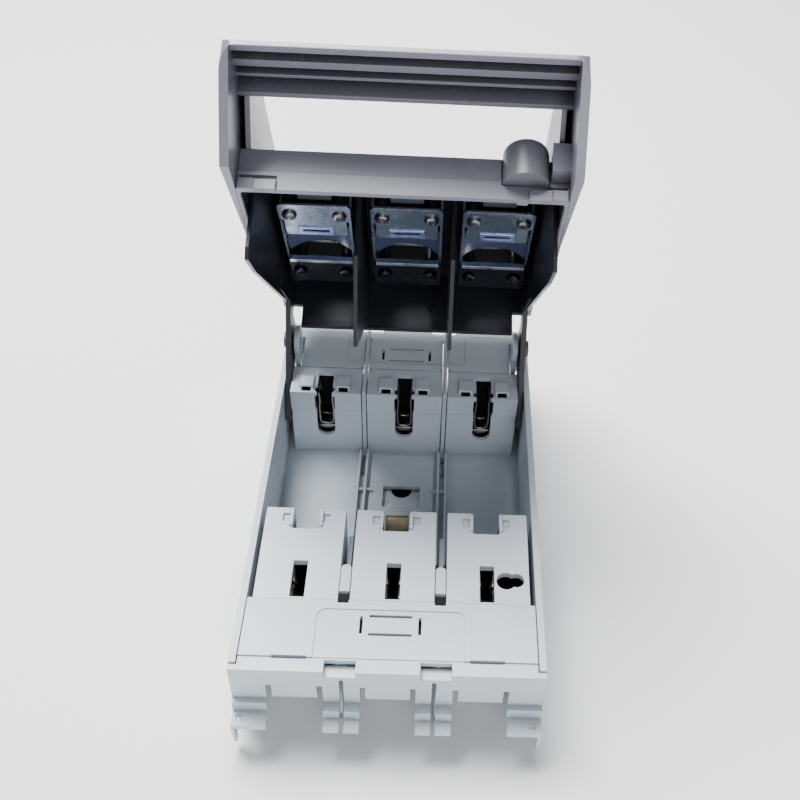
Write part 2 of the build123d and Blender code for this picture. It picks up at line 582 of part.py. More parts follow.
def arc_strip(pole):
    """Curved liner, a shallow half pipe between the carrier flanges."""
    start = Plane(
        origin=LID.from_local_coords(Vector(pole, 0.4, 66)),
        x_dir=LID.x_dir,
        z_dir=-LID.y_dir,
    )
    with BuildSketch(start) as bow:
        with BuildLine():
            ThreePointArc((-12.1, 0), (0, 4.8), (12.1, 0))
            Line((12.1, 0), (12.1, -0.8))
            ThreePointArc((12.1, -0.8), (0, 4.0), (-12.1, -0.8))
            Line((-12.1, -0.8), (-12.1, 0))
        make_face()
    extrude(bow.sketch, amount=-17)


def pan_screw(pole, dx, y):
    """Cross-head pan screw that holds a carrier to the frame."""
    rod("z", (pole + dx, y), 1.35, (CARRIER_Z - 0.5, CARRIER_Z + 9))
    rod("z", (pole + dx, y), 2.7, (CARRIER_Z - 1.7, CARRIER_Z))
    block((pole + dx - 1.5, pole + dx + 1.5), (y - 0.3, y + 0.3), (CARRIER_Z - 2, CARRIER_Z - 0.9), Mode.SUBTRACT)
    block((pole + dx - 0.3, pole + dx + 0.3), (y - 1.5, y + 1.5), (CARRIER_Z - 2, CARRIER_Z - 0.9), Mode.SUBTRACT)


def test_slide(pole):
    """Slide that shuts a test hole: finger nub, plate and tongue."""
    block((pole - 7, pole + 7), (-19.4, -9), (79.7, 81.3))
    block((pole - 1.9, pole + 1.9), (-13.6, -10.4), (81, LID_TOP - 0.3))
    block((pole - 6, pole + 6), (-19.4, -16.8), (67, 80))
    # the plate is clipped to the slope of the lid
    slab(LID, (pole - 8, pole + 8), [(-21, 79), (-21, 82), (-15.9, 82)], Mode.SUBTRACT)


for number, pole in enumerate(POLES, start=1):
    with BuildPart(LID) as fuse_carrier:
        carrier(pole)
    save(fuse_carrier, f"fuse_carrier_{number}")
    with BuildPart(LID) as liner:
        arc_strip(pole)
    save(liner, f"arc_liner_{number}")
    with BuildPart(LID) as slide:
        test_slide(pole)
    save(slide, f"test_slide_{number}")
    with BuildPart(LID) as window:
        block((pole - 7.9, pole + 7.9), (WINDOW_Y[0] + 0.1, WINDOW_Y[1] - 0.1), (LID_TOP - 1.7, LID_TOP - 0.1))
    save(window, f"window_{number}")
    with BuildPart(LID) as arc_plates:
        for row in range(5):
            y = 2.2 + 3.2 * row
            block((pole - 12.2, pole + 12.2), (y, y + 0.8), (72.4, 77.2))
    save(arc_plates, f"arc_plates_{number}")

with BuildPart(LID) as carrier_bars:
    for pole in POLES:
        block((pole - 12.2, pole + 12.2), (17.9, 19.9), (CARRIER_Z - 0.9, CARRIER_Z + 1.1))
save(carrier_bars, "carrier_bars")

with BuildPart(LID) as carrier_screws:
    for pole in POLES:
        for dx, y in SCREW_SPOTS:
            pan_screw(pole, dx, y)
save(carrier_screws, "carrier_screws")

# ---- lock knob on the end wall, with its cam inside the lid ----
with BuildPart(LID) as lock_knob:
    rod("z", (LOCK_X, LOCK_Y), LOCK_RADIUS, LOCK_Z)
    crown = lock_knob.edges().filter_by(GeomType.CIRCLE).sort_by(Axis(LID.origin, LID.z_dir))[-1]
    fillet(crown, 3.6)
    rod("z", (LOCK_X, LOCK_Y), 3.4, (CAM_Z[0] - 0.2, CAM_Z[1] + 0.2), Mode.SUBTRACT)
    block((LOCK_X - 2.1, LOCK_X + 2.1), (LOCK_Y, LOCK_Y + 9), (CAM_Z[0], CAM_Z[1]), Mode.SUBTRACT)
save(lock_knob, "lock_knob")

with BuildPart(LID) as lock_cam:
    rod("z", (LOCK_X, LOCK_Y), 3.3, CAM_Z)
    block((LOCK_X - 1.8, LOCK_X + 1.8), (LOCK_Y, LOCK_Y + 13), (CAM_Z[0] + 0.1, CAM_Z[1] - 0.1))
save(lock_cam, "lock_cam")
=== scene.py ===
from math import cos, pi, radians, sin

import bmesh
import bpy
from mathutils import Matrix, Vector


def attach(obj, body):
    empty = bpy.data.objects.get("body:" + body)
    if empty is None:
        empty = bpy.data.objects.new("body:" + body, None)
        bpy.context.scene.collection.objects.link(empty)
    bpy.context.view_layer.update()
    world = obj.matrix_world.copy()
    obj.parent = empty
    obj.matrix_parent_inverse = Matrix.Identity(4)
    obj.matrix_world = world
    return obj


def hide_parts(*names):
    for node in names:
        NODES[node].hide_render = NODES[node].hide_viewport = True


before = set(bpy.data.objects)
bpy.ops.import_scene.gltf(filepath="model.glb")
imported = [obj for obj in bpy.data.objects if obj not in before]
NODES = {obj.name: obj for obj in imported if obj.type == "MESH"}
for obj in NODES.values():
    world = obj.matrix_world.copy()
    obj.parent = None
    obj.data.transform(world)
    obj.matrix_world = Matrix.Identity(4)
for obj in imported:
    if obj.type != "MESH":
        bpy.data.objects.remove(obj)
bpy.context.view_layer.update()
MM = 0.001

# ---- the lid's own axes: closed place to the open rest place ----
HINGE = Vector((0, 66.5, 48.4))
OPENING = radians(65.5)
LID_Y = Vector((0, cos(OPENING), -sin(OPENING)))
LID_Z = Vector((0, sin(OPENING), cos(OPENING)))


def base_point(x, y, z):
    return Vector((x, y, z)) * MM


def lid_point(x, y, z):
    """A point of the closed lid, carried to where the open lid holds it."""
    return (Vector((x, 0, 0)) + HINGE + LID_Y * (y - HINGE.y) + LID_Z * (z - HINGE.z)) * MM


# =====================================================================
# Materials
# =====================================================================
class Shader:
    """A small wrapper that adds and joins nodes of one material."""

    def __init__(self, name):
        self.material = bpy.data.materials.new(name)
        self.material.use_nodes = True
        self.tree = self.material.node_tree
        self.bsdf = self.tree.nodes["Principled BSDF"]
        self.coords = self.add("ShaderNodeTexCoord").outputs["Object"]

    def add(self, kind, **values):
        node = self.tree.nodes.new(kind)
        for key, value in values.items():
            setattr(node, key, value)
        return node

    def link(self, start, end):
        self.tree.links.new(start, end)

    def stretched(self, scale):
        node = self.add("ShaderNodeMapping")
        node.inputs["Scale"].default_value = scale
        self.link(self.coords, node.inputs["Vector"])
        return node.outputs["Vector"]

    def noise(self, scale, detail=3.0, roughness=0.55, vector=None):
        node = self.add("ShaderNodeTexNoise")
        node.inputs["Scale"].default_value = scale
        node.inputs["Detail"].default_value = detail
        node.inputs["Roughness"].default_value = roughness
        self.link(vector or self.coords, node.inputs["Vector"])
        return node.outputs["Fac"]

    def spots(self, scale, feature="F1"):
        node = self.add("ShaderNodeTexVoronoi", feature=feature)
        node.inputs["Scale"].default_value = scale
        self.link(self.coords, node.inputs["Vector"])
        return node.outputs["Distance"]

    def remap(self, value, low, high, new_low, new_high):
        node = self.add("ShaderNodeMapRange")
        node.inputs["From Min"].default_value = low
        node.inputs["From Max"].default_value = high
        node.inputs["To Min"].default_value = new_low
        node.inputs["To Max"].default_value = new_high
        self.link(value, node.inputs["Value"])
        return node.outputs["Result"]

    def lid_range(self, closed, low, high):
        """0 at one distance along a closed-lid direction, 1 at the other."""
        x, y, z = closed
        opened = Vector((x, 0, 0)) + LID_Y * y + LID_Z * z
        along = self.add("ShaderNodeVectorMath", operation="DOT_PRODUCT")
        self.link(self.coords, along.inputs[0])
        along.inputs[1].default_value = opened
        shift = HINGE.dot(Vector(closed)) - HINGE.dot(opened)
        return self.remap(along.outputs["Value"], (low - shift) * MM, (high - shift) * MM, 0.0, 1.0)

    def openness(self, reach):
        """1 on open faces, falling towards 0 down in grooves and corners, where plastic() paints shade.
        """
        node = self.add("ShaderNodeAmbientOcclusion", samples=4)
        node.inputs["Distance"].default_value = reach
        return node.outputs["AO"]

    def product(self, first, second):
        node = self.add("ShaderNodeMath", operation="MULTIPLY")
        self.link(first, node.inputs[0])
        self.link(second, node.inputs[1])
        return node.outputs["Value"]

    def mix(self, factor, first, second, blend="MIX"):
        node = self.add("ShaderNodeMix", data_type="RGBA", blend_type=blend)
        if isinstance(factor, float):
            node.inputs[0].default_value = factor
        else:
            self.link(factor, node.inputs[0])
        for socket, value in ((node.inputs[6], first), (node.inputs[7], second)):
            if isinstance(value, tuple):
                socket.default_value = (*value, 1.0)
            else:
                self.link(value, socket)
        return node.outputs[2]

    def bump(self, height, strength, distance, normal=None):
        node = self.add("ShaderNodeBump")
        node.inputs["Strength"].default_value = strength
        node.inputs["Distance"].default_value = distance
        self.link(height, node.inputs["Height"])
        if normal is not None:
            self.link(normal, node.inputs["Normal"])
        return node.outputs["Normal"]

    def soft_edges(self, radius):
        """Rounded-edge normal, and a mask that is 1 on the edge lines, where plastic() paints a
        highlight.
        """
        bevel = self.add("ShaderNodeBevel", samples=4)
        bevel.inputs["Radius"].default_value = radius
        flat = self.add("ShaderNodeNewGeometry").outputs["Normal"]
        dot = self.add("ShaderNodeVectorMath", operation="DOT_PRODUCT")
        self.link(bevel.outputs["Normal"], dot.inputs[0])
        self.link(flat, dot.inputs[1])
        mask = self.remap(dot.outputs["Value"], 0.995, 0.86, 0.0, 1.0)
        return bevel.outputs["Normal"], mask


# The lid's pocket side is coloured darker than its outer faces, as painted shade. Each row is a
# direction of the closed lid, and the distances along it where the skin ends and the pocket starts.
POCKET_LIMITS = (
    ((0, 1, 0), -60.9, -60.3),
    ((0, 0, 1), 82.6, 82.2),
    ((0, -0.527, 0.850), 79.9, 79.3),
    ((-1, 0, 0), 51.4, 51.0),
    ((1, 0, 0), 51.4, 51.0),
)


# how far the painted shade in grooves and corners reaches
CORNER_REACH = 7.0 * MM
# colour of the painted shade over the lower carrier plate and its screws
LOWER_PLATE_SHADE = (0.028, 0.030, 0.045)


def shade(colour, factor):
    return tuple(min(1.0, c * factor) for c in colour)


def plastic(
    name, colour, rough=0.42, grain=0.35, radius=0.35, edge=1.25,
    mottle=0.07, spec=0.5, pocket_shade=None, corner_shade=0.35,
):
    """Moulded plastic: spark-eroded grain, faint flow marks, a painted highlight along edge lines,
    painted shade in corners.

    inside is the painted shade colour of the lid's pocket side; corner is how far painted shade darkens
    grooves.
    """
    s = Shader(name)
    cloud = s.noise(38.0, 4.0)
    flow = s.noise(1.0, 3.0, 0.6, s.stretched((40.0, 130.0, 55.0)))
    body = s.mix(cloud, shade(colour, 1 - mottle), shade(colour, 1 + mottle))
    body = s.mix(s.remap(flow, 0.35, 0.75, 0.0, 0.28), body, shade(colour, 1 - 1.6 * mottle))
    dust = s.noise(900.0, 2.0)
    body = s.mix(s.remap(dust, 0.62, 0.78, 0.0, 0.22), body, shade(colour, 1.12))
    normal, edge_highlight = s.soft_edges(radius * MM)
    # painted highlight: the edge lines are lightened by the edge factor
    body = s.mix(s.remap(edge_highlight, 0.0, 1.0, 0.0, 0.55), body, shade(colour, edge))
    # painted shade: grooves and corners darkened from ambient occlusion
    body = s.mix(s.remap(s.openness(CORNER_REACH), 0.15, 0.9, corner_shade, 0.0), body, shade(colour, 0.2))
    # painted shade: the lid's pocket side takes its own darker colour
    if pocket_shade:
        pocket = s.lid_range(*POCKET_LIMITS[0])
        for limit in POCKET_LIMITS[1:]:
            pocket = s.product(pocket, s.lid_range(*limit))
        body = s.mix(pocket, body, pocket_shade)
    s.link(body, s.bsdf.inputs["Base Color"])
    s.link(s.remap(cloud, 0.3, 0.7, rough - 0.07, rough + 0.08), s.bsdf.inputs["Roughness"])
    s.bsdf.inputs["Specular IOR Level"].default_value = spec
    fine = s.bump(s.noise(2600.0, 2.0), grain * 0.35, 0.00006, normal)
    s.link(s.bump(s.noise(700.0, 2.0), grain, 0.00005, fine), s.bsdf.inputs["Normal"])
    return s.material


def metal(
    name, colour, rough=0.28, brush=(1.0, 30.0, 1.0), tint=0.12,
    radius=0.2, spangle=0.0, wear=(0.3, 0.3, 0.32), shade_span=None,
):
    """Plated or bare sheet metal with rolling marks and faint stains.

    film is where painted shade starts and is full, as closed-lid Y in millimetres.
    """
    s = Shader(name)
    lines = s.noise(90.0, 5.0, 0.65, s.stretched(brush))
    stain = s.noise(160.0, 4.0, 0.6)
    body = s.mix(s.remap(lines, 0.3, 0.7, 0.0, 1.0), shade(colour, 1 - tint), shade(colour, 1 + tint))
    body = s.mix(s.remap(stain, 0.58, 0.8, 0.0, 0.5), body, wear)
    if spangle:
        body = s.mix(s.remap(s.spots(420.0), 0.1, 0.7, 0.0, spangle), body, shade(colour, 0.7))
    # painted shade over the lower carrier plate
    if shade_span:
        body = s.mix(s.lid_range((0, 1, 0), *shade_span), body, LOWER_PLATE_SHADE)
    s.link(body, s.bsdf.inputs["Base Color"])
    s.bsdf.inputs["Metallic"].default_value = 1.0
    s.link(s.remap(stain, 0.35, 0.75, rough - 0.08, rough + 0.16), s.bsdf.inputs["Roughness"])
    normal, _ = s.soft_edges(radius * MM)
    s.link(s.bump(lines, 0.18, 0.00004, normal), s.bsdf.inputs["Normal"])
    return s.material


def clear_plastic(name, colour):
    """Tinted clear window with a faint moulded ripple."""
    s = Shader(name)
    haze = s.noise(220.0, 3.0)
    s.link(s.mix(haze, shade(colour, 0.92), colour), s.bsdf.inputs["Base Color"])
    s.bsdf.inputs["Transmission Weight"].default_value = 0.75
    s.bsdf.inputs["IOR"].default_value = 1.46
    s.link(s.remap(haze, 0.3, 0.7, 0.06, 0.16), s.bsdf.inputs["Roughness"])
    s.link(s.bump(s.noise(60.0, 2.0), 0.15, 0.0001), s.bsdf.inputs["Normal"])
    return s.material


# closed-lid Y over which painted shade darkens the lower half of each carrier and its screws
LOWER_PLATE = (12.0, 19.0)
LOOKS = {
    "base": plastic("base_plastic", (0.57, 0.63, 0.68), 0.40, 0.30),
    "shroud": plastic("shroud_plastic", (0.60, 0.66, 0.73), 0.38, 0.25, 0.45),
    "cover": plastic("cover_plastic", (0.58, 0.645, 0.70), 0.40, 0.30, 0.4),
    # lid: its pocket colour is painted shade, and its edge factor paints highlights along edge lines
    "lid": plastic(
        "lid_plastic", (0.19, 0.19, 0.235), 0.34, 0.4, 0.5, 1.9, 0.12, 0.6,
        pocket_shade=(0.016, 0.016, 0.023), corner_shade=0.5,
    ),
    # handle: its grooves take the full painted shade, and its edge factor paints highlights along edge
    # lines
    "handle": plastic("handle_plastic", (0.20, 0.19, 0.24), 0.30, 0.4, 0.5, 1.9, 0.12, 0.6, corner_shade=1.0),
    # lid frame: near-black as painted shade of the lid's pocket, with edge factor 4 as painted
    # highlights on the partition edges
    "inner": plastic("lid_frame_painted_shade", (0.014, 0.015, 0.022), 0.38, 0.3, 0.4, 4.0, 0.15),
    "knob": plastic("knob_plastic", (0.14, 0.145, 0.17), 0.36, 0.3, 0.4, 1.4),
    "slide": plastic("slide_plastic", (0.33, 0.36, 0.42), 0.4, 0.3, 0.3, 1.3),
    "pin": plastic("pin_plastic", (0.10, 0.10, 0.12), 0.35, 0.3, 0.3, 1.8),
    "contact": metal("silvered_copper", (0.40, 0.385, 0.37), 0.14, (1.0, 1.0, 18.0), 0.10, 0.25),
    "shade": plastic("shade_plastic", (0.010, 0.010, 0.013), 0.75, 0.2, 0.2, 1.2, 0.1, 0.2),
    "clip": metal("clip_steel", (0.10, 0.10, 0.11), 0.4, (1.0, 1.0, 20.0)),
    "clamp": metal("clamp_steel", (0.62, 0.63, 0.64), 0.3, (20.0, 1.0, 1.0)),
    "screw": metal("screw_steel", (0.62, 0.63, 0.65), 0.26, (9.0, 9.0, 9.0)),
    # carrier: its lower half is darkened by painted shade over LOWER_PLATE
    "carrier": metal(
        "carrier_steel", (0.36, 0.40, 0.50), 0.24, (26.0, 1.0, 1.0), 0.14, 0.25, 0.25,
        wear=(0.16, 0.20, 0.34), shade_span=LOWER_PLATE,
    ),
    # a lighter, bluer copy of the carrier steel for the pressed fields: painted highlight
    "emboss": metal("pressed_field_highlight_steel", (0.50, 0.54, 0.95), 0.3, (26.0, 1.0, 1.0)),
    "bar": metal("bar_steel", (0.75, 0.78, 0.84), 0.18, (1.0, 30.0, 30.0), 0.10),
    # pan screws: painted shade over LOWER_PLATE, as on the carrier
    "pan_screw": metal("pan_screw_steel", (0.24, 0.24, 0.26), 0.3, (9.0, 9.0, 9.0), shade_span=LOWER_PLATE),
    "liner": plastic("liner_plastic", (0.10, 0.125, 0.24), 0.16, 0.2, 0.2, 1.5, 0.2, 0.9),
    "arc": metal("arc_steel", (0.24, 0.24, 0.26), 0.42, (1.0, 1.0, 20.0)),
    "latch": metal("latch_steel", (0.74, 0.77, 0.80), 0.5, (1.0, 24.0, 1.0)),
    "tab": metal(
        "tab_bronze", (0.20, 0.175, 0.12), 0.62, (1.0, 1.0, 9.0), 0.3, 0.2, 0.35,
        wear=(0.09, 0.075, 0.05),
    ),
    "spring": metal("spring_steel", (0.4, 0.4, 0.42), 0.3, (9.0, 9.0, 9.0)),
    "window": clear_plastic("window_plastic", (0.62, 0.66, 0.70)),
}
NODE_LOOKS = (
    ("base_housing", "base"), ("near_shroud", "shroud"), ("far_shroud", "shroud"),
    ("near_terminal_cover", "cover"), ("far_terminal_cover", "cover"),
    ("near_contact", "contact"), ("far_contact", "contact"),
    ("near_jaw_clips", "clip"), ("far_jaw_clips", "clip"),
    ("near_clamp_plates", "clamp"), ("far_clamp_plates", "clamp"),
    ("near_terminal_screws", "screw"), ("far_terminal_screws", "screw"),
    ("lid_cover", "lid"), ("handle", "handle"), ("lid_frame", "inner"),
    ("fuse_carrier", "carrier"), ("carrier_bars", "bar"), ("carrier_screws", "pan_screw"),
    ("arc_liner", "liner"), ("arc_plates", "arc"), ("window", "window"),
    ("test_slide", "slide"), ("lock_knob", "knob"), ("lock_cam", "clamp"),
    ("pivot_pin", "pin"), ("rail_latch", "latch"), ("latch_tab", "tab"), ("latch_spring", "spring"),
)


def dress(node, look):
    """Give every material slot of a CAD node one look."""
    for place in node.material_slots:
        place.material = LOOKS[look]


for node_name, node in NODES.items():
    dress(node, next(look for start, look in NODE_LOOKS if node_name.startswith(start)))

# =====================================================================
# Mesh helpers
# =====================================================================
def piece(name, verts, faces, look, slot, body, place=base_point, smooth=True, bevel=0.0):
    """A mesh piece whose points are given in millimetres in the chosen frame."""
    mesh = bpy.data.meshes.new(name)
    mesh.from_pydata([place(*v) for v in verts], [], faces)
    mesh.validate()
    work = bmesh.new()
    work.from_mesh(mesh)
    bmesh.ops.remove_doubles(work, verts=work.verts, dist=0.00001)
    bmesh.ops.recalc_face_normals(work, faces=work.faces)
    work.to_mesh(mesh)
    work.free()
    for polygon in mesh.polygons:
        polygon.use_smooth = smooth
    mesh.materials.append(LOOKS[look])
    thing = bpy.data.objects.new(name, mesh)
    bpy.context.scene.collection.objects.link(thing)
    if bevel:
        rounding = thing.modifiers.new("rounding", "BEVEL")
        rounding.width = bevel * MM
        rounding.segments = 3
        rounding.limit_method = "ANGLE"
        rounding.angle_limit = radians(35)
    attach(thing, body)
    return thing


def smooth_line(points, steps=6):
    """Catmull-Rom points through the given ones."""
    out = []
    last = len(points) - 1
    for i in range(last):
        p0, p1 = points[max(i - 1, 0)], points[i]
        p2, p3 = points[i + 1], points[min(i + 2, last)]
        for k in range(steps):
            t = k / steps
            out.append(tuple(
                0.5 * (
                    2 * b + (c - a) * t + (2 * a - 5 * b + 4 * c - d) * t * t
                    + (3 * b - a - 3 * c + d) * t ** 3
                )
                for a, b, c, d in zip(p0, p1, p2, p3)
            ))
    out.append(tuple(points[-1]))
    return out


def offset_line(points, distance):
    """The line moved sideways by a distance, as the other face of a strip."""
    out = []
    for i, (u, v) in enumerate(points):
        a, b = points[max(i - 1, 0)], points[min(i + 1, len(points) - 1)]
        du, dv = b[0] - a[0], b[1] - a[1]
        size = (du * du + dv * dv) ** 0.5 or 1.0
        out.append((u - dv / size * distance, v + du / size * distance))
    return out


def ribbon(line, thickness, low, high, to_xyz):
    """Verts and faces of a bent strip: a line of (u, v) given a thickness and a width."""
    other = offset_line(line, thickness)
    count = len(line)
    verts = [to_xyz(u, v, w) for w in (low, high) for side in (line, other) for u, v in side]
    a, b, c, d = 0, count, 2 * count, 3 * count
    faces = []
    for i in range(count - 1):
        faces += [
            (a + i, a + i + 1, c + i + 1, c + i),
            (b + i, d + i, d + i + 1, b + i + 1),
            (a + i, b + i, b + i + 1, a + i + 1),
            (c + i, c + i + 1, d + i + 1, d + i),
        ]
    faces += [(a, c, d, b), (a + count - 1, b + count - 1, d + count - 1, c + count - 1)]
    return verts, faces


def join(parts):
    """Several (verts, faces) lists as one."""
    verts, faces = [], []
    for v, f in parts:
        start = len(verts)
        verts += v
        faces += [tuple(i + start for i in face) for face in f]
    return verts, faces


def cuboid(x, y, z):
    verts = [(a, b, c) for a in x for b in y for c in z]
    faces = [(0, 1, 3, 2), (4, 6, 7, 5), (0, 4, 5, 1), (2, 3, 7, 6), (0, 2, 6, 4), (1, 5, 7, 3)]
    return verts, faces


def turned(profile, segments, to_xyz):
    """A surface of revolution of (radius, height) points; to_xyz takes (a, b, height)."""
    verts, rings = [], []
    for radius, height in profile:
        if radius < 1e-6:
            rings.append([len(verts)])
            verts.append(to_xyz(0, 0, height))
            continue
        ring = []
        for k in range(segments):
            angle = 2 * pi * k / segments
            ring.append(len(verts))
            verts.append(to_xyz(radius * cos(angle), radius * sin(angle), height))
        rings.append(ring)
    faces = []
    for lower, upper in zip(rings, rings[1:]):
        for k in range(segments):
            n = (k + 1) % segments
            if len(lower) == 1:
                faces.append((lower[0], upper[n], upper[k]))
            elif len(upper) == 1:
                faces.append((lower[k], lower[n], upper[0]))
            else:
                faces.append((lower[k], lower[n], upper[n], upper[k]))
    return verts, faces


# ---- lyre contacts: a bent spring strip on a terminal bar ----
POLES = (-33.5, 0.0, 33.5)
# left half of each strip's front view, from its tip down to the bar
NEAR_LYRE = [
    (-3.0, 35.9), (-2.3, 34.4), (-1.7, 32.4), (-1.75, 30.4), (-2.7, 26.6),
    (-3.3, 22.6), (-2.9, 19.0), (-1.7, 17.5), (0, 17.15),
]
FAR_LYRE = [
    (-3.5, 35.9), (-3.3, 34), (-3.2, 32.5), (-3.25, 30), (-3.45, 27),
    (-3.45, 22), (-3.1, 18.6), (-1.9, 17.5), (0, 17.15),
]
STRIP_THICKNESS = 0.9
STRIP_GAP = 0.5            # half the slit between the two strips of one contact
BAR_HALF, BAR_Z = 8, (14.0, 17.0)
SHEET = 0.12               # thickness of the dark lining sheets


def lyre_contact(name, pole, profile, jaw_y, bar_y):
    """Two bent strips side by side along Y, standing on their terminal bar."""
    line = smooth_line(profile + [(-x, z) for x, z in reversed(profile[:-1])], 5)
    strips = []
    middle = (jaw_y[0] + jaw_y[1]) / 2
    for low, high in ((jaw_y[0], middle - STRIP_GAP), (middle + STRIP_GAP, jaw_y[1])):
        strips.append(ribbon(line, STRIP_THICKNESS, low, high, lambda u, v, w: (pole + u, w, v)))
    bar = cuboid((pole - BAR_HALF, pole + BAR_HALF), bar_y, BAR_Z)
    thing = piece(f"{name}_lyre", *join(strips + [bar]), "contact", "contact_metal", "base", bevel=0.3)
    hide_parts(name)


for number, pole in enumerate(POLES, start=1):
    lyre_contact(f"near_contact_{number}", pole, NEAR_LYRE, (-56.4, -43.6), (-79.8, -43.4))
    lyre_contact(f"far_contact_{number}", pole, FAR_LYRE, (47.5, 58.4), (47.4, 79.8))


# ---- dark inner faces of the shrouds and of the two terminal rooms ----
def sheet_walls(x, y, z, front_z):
    """Thin inner skins of one hollow shroud: floor, two sides, rear and upper front."""
    return [
        cuboid(x, y, (z[0], z[0] + SHEET)),
        cuboid((x[0], x[0] + SHEET), y, z),
        cuboid((x[1] - SHEET, x[1]), y, z),
        cuboid(x, (y[1] - SHEET, y[1]), z),
        cuboid(x, (y[0], y[0] + SHEET), (front_z, z[1])),
    ]


def lining(name, parts, body):
    """Dark sheets or plugs as one piece that rides on the given body."""
    piece(name, *join(parts), "shade", "frame_inner", body, smooth=False)


NEAR_ROOMS = ((-46.8, -20.95), (-12.95, 12.95), (20.95, 46.8))
for number, x_room in enumerate(NEAR_ROOMS, start=1):
    skins = sheet_walls(x_room, (-56.9, -36.0), (4.1, 38.1), 24.3)
    lining(f"near_shroud_lining_{number}", skins, "base")

FAR_ROOM_Y, FAR_ROOM_Z = (46.4, 58.7), (4.3, 38.0)
FAR_ROOMS = ((-45.9, -20.1), (-13.9, 13.9), (20.1, 45.9))
for number, x_room in enumerate(FAR_ROOMS, start=1):
    skins = [
        cuboid(x_room, (58.75, 58.9), (17.4, 38.0)),
        cuboid(x_room, FAR_ROOM_Y, (4.1, 4.25)),
        cuboid((x_room[0], x_room[0] + SHEET), FAR_ROOM_Y, FAR_ROOM_Z),
        cuboid((x_room[1] - SHEET, x_room[1]), FAR_ROOM_Y, FAR_ROOM_Z),
    ]
    lining(f"far_shroud_lining_{number}", skins, "base")

# the dark back of the hole in the latch plate
HOLE_Y, HOLE_RADIUS = 23.9, 4.25
disc = turned(
    [(0, 0.3), (HOLE_RADIUS, 0.3), (HOLE_RADIUS, 0.5), (0, 0.5)], 32,
    lambda a, b, h: (a, HOLE_Y + b, h),
)
lining("latch_hole_backing", [disc], "latch")

# dark gaps between the terminal cover and the two posts
GAP_BACKS = [cuboid((side * 15.1, side * 18.8), (-59.3, -56.1), (38.3, 38.5)) for side in (-1, 1)]
lining("post_gap_backing", GAP_BACKS, "base")

# the bronze tab: a stem from the latch plate with a sloping rounded finger pad
TAB_HALF = 4.3
TAB_LINE = smooth_line([
    (-27.0, 32.6), (-25.6, 33.9), (-23.0, 36.2), (-21.2, 37.6),
    (-20.3, 37.4), (-20.0, 36.0), (-20.0, 20.0), (-20.0, 2.4),
], 4)
stem = ribbon(TAB_LINE, STRIP_THICKNESS, -TAB_HALF, TAB_HALF, lambda u, v, w: (w, u, v))
tab = piece("latch_tab_finger_pad", *stem, "tab", "tab_bronze", "latch", bevel=0.25)
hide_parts("latch_tab")

# dark sheets just under the plates of the two terminal covers
COVER_SHEET_Z = (37.14, 37.26)
COVER_SHEETS = (
    ("near_terminal_cover_lining", "near_cover", ((-49.0, 49.0),), (-82.0, -60.6)),
    (
        "far_terminal_cover_lining", "far_cover",
        ((-44.6, -18.6), (-15.4, 15.4), (18.6, 44.6)), (60.6, 82.0),
    ),
)
for sheet_name, rider, strips_x, strip_y in COVER_SHEETS:
    lining(sheet_name, [cuboid(x, strip_y, COVER_SHEET_Z) for x in strips_x], rider)


# ---- domed cross-head screws of the carriers ----
SCREW_SPOTS = ((-9.0, -14.3), (9.0, -14.3), (-9.0, 28.0), (9.0, 28.0))
HEAD_BASE, HEAD_RADIUS, HEAD_HEIGHT = 62.0, 2.7, 1.65
SHANK_RADIUS, SHANK_LENGTH = 1.35, 9
SCREW_TURN = 1.13          # each screw stopped at another angle


def cross_head_mesh():
    """One pan head with a tapered cross recess, made once and copied."""
    dome = [
        (0.0, 0.0), (HEAD_RADIUS, 0.0), (HEAD_RADIUS, 0.45), (2.45, 1.0),
        (1.9, 1.4), (1.1, 1.6), (0.0, HEAD_HEIGHT),
    ]
    verts, faces = turned(dome, 40, lambda a, b, h: (a, b, h))
    head = bpy.data.meshes.new("head")
    head.from_pydata(verts, [], faces)
    body = bpy.data.objects.new("head", head)
    bpy.context.scene.collection.objects.link(body)
    cutters = []
    for turn in (0, pi / 2):
        taper = []
        for z, length, width in ((0.55, 0.7, 0.22), (2.2, 1.75, 0.42)):
            for x, y in ((-length, -width), (length, -width), (length, width), (-length, width)):
                taper.append((x * cos(turn) - y * sin(turn), x * sin(turn) + y * cos(turn), z))
        mesh = bpy.data.meshes.new("cutter")
        mesh.from_pydata(taper, [], [
            (0, 3, 2, 1), (4, 5, 6, 7), (0, 1, 5, 4), (1, 2, 6, 5), (2, 3, 7, 6), (3, 0, 4, 7),
        ])
        cutter = bpy.data.objects.new("cutter", mesh)
        bpy.context.scene.collection.objects.link(cutter)
        cut = body.modifiers.new("cut", "BOOLEAN")
        cut.operation = "DIFFERENCE"
        cut.object = cutter
        cutters.append(cutter)
    bpy.context.view_layer.update()
    ready = body.evaluated_get(bpy.context.evaluated_depsgraph_get()).to_mesh()
    shape = [tuple(v.co) for v in ready.vertices], [tuple(p.vertices) for p in ready.polygons]
    for thing in (*cutters, body):
        bpy.data.objects.remove(thing)
    return shape


HEAD_VERTS, HEAD_FACES = cross_head_mesh()


